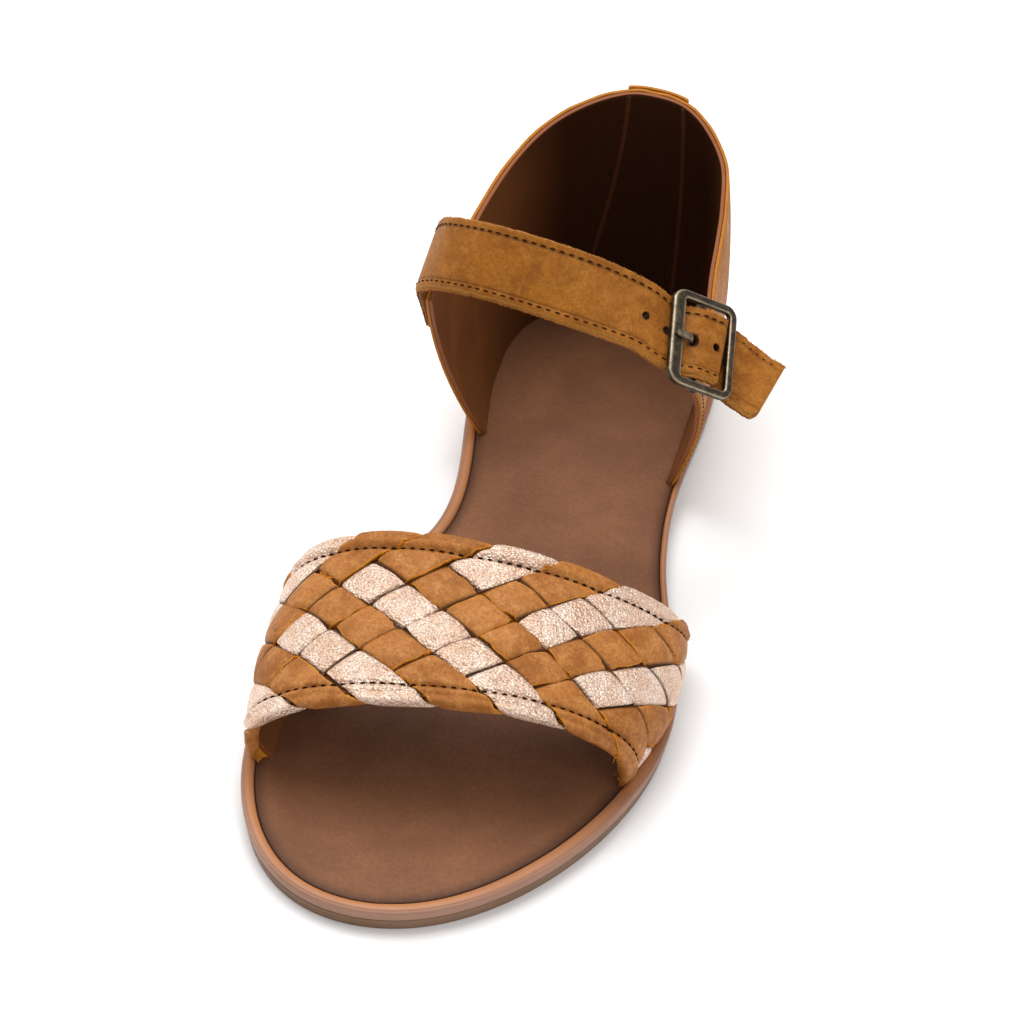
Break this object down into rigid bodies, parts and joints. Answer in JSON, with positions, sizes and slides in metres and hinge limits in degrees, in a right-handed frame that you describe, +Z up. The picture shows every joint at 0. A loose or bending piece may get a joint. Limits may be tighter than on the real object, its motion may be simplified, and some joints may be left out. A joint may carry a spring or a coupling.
{
  "type": "ankle-strap sandal",
  "caption": "Flat open-toe sandal with a braided two-tone vamp band, closed heel counter, ankle strap and square buckle.",
  "frame": {"origin": "middle of the bounding box on the floor the sole stands on", "axes": "+Y from toe to heel, +X to the shoe's lateral side, +Z up"},
  "size_m": [0.1102, 0.2552, 0.1059],
  "materials": {
    "outsole_rubber": "matte olive-brown resin rubber",
    "midsole_rubber": "satin peach-tan",
    "insole_leather": "fine-grained brown leather",
    "tan_leather": "waxed nubuck, soft sheen",
    "rose_gold_leather": "pebbled metallic foil leather",
    "lining_leather": "smooth dark brown lining",
    "thread": "dark brown waxed thread",
    "antique_brass": "antique, worn at the edges"
  },
  "bodies": {
    "root": {"outsole": "outsole_rubber", "midsole": "midsole_rubber", "insole": "insole_leather", "vamp_band": "tan_leather", "heel_counter": "tan_leather", "back_strip": "tan_leather", "ankle_strap": "tan_leather", "buckle_frame": "antique_brass", "buckle_prong": "antique_brass", "buckle_tab": "tan_leather"}
  },
  "joints": []
}
